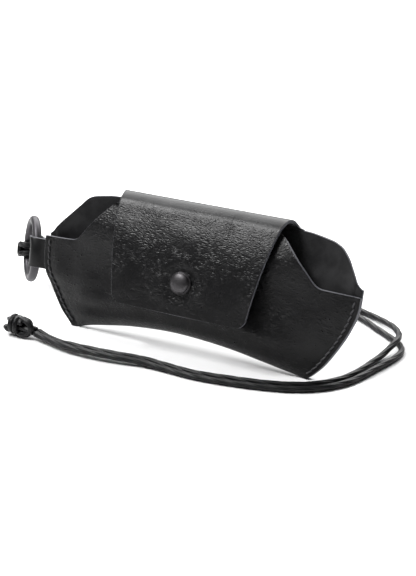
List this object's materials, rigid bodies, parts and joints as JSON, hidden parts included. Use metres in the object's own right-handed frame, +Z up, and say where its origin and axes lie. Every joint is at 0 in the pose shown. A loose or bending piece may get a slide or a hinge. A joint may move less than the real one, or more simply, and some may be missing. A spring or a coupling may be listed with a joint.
{
  "type": "soft spectacle case with neck cord",
  "caption": "Soft black leather spectacle case: folded pouch with sewn ends, snap-down flap, side tab with O-ring and a doubled neck cord hitched to the ring.",
  "frame": {"origin": "on the floor, under the middle of the case's footprint with its side ring included", "axes": "+X along the case's length towards the end without the ring, +Y towards its back, +Z up"},
  "size_m": [0.2183, 0.1233, 0.0693],
  "materials": {
    "black_leather": "semi-gloss pebbled grain",
    "black_suede": "matte napped",
    "black_metal": "satin black",
    "dark_steel": "satin, darkened",
    "black_thread": "waxed thread",
    "black_cord": "braided leather lace"
  },
  "bodies": {
    "case": {"case_leather": "black_leather", "case_lining": "black_suede", "seam_thread_front_left": "black_thread", "seam_thread_back_left": "black_thread", "seam_thread_front_right": "black_thread", "seam_thread_back_right": "black_thread", "tab_strap": "black_leather", "snap_stud": "dark_steel", "snap_post": "dark_steel", "cord_strand_a": "black_cord", "cord_strand_b": "black_cord", "cord_tail_a": "black_cord", "cord_tail_b": "black_cord", "cord_knot": "black_cord"},
    "flap": {"flap_leather": "black_leather", "flap_lining": "black_suede", "snap_cap": "black_metal", "snap_socket": "dark_steel", "snap_spring": "dark_steel"},
    "ring_carrier": {"cord_hitch": "black_cord"},
    "ring": {"o_ring": "black_metal"}
  },
  "joints": [
    {"name": "flap_open", "type": "hinge", "parent": "case", "child": "flap", "pos_m": [0.01335, 0.01443, 0.06345], "axis": [-1, 0, 0], "range_deg": [0, 150]},
    {"name": "ring_swing", "type": "hinge", "parent": "case", "child": "ring_carrier", "pos_m": [-0.07925, -0.00384, 0.03103], "axis": [0, 0.2045, 0.9789], "range_deg": [-30, 40]},
    {"name": "ring_spin", "type": "hinge", "parent": "ring_carrier", "child": "ring", "pos_m": [-0.08959, 0.0068, 0.02881], "axis": [-0.7242, -0.675, 0.141], "continuous": true}
  ]
}
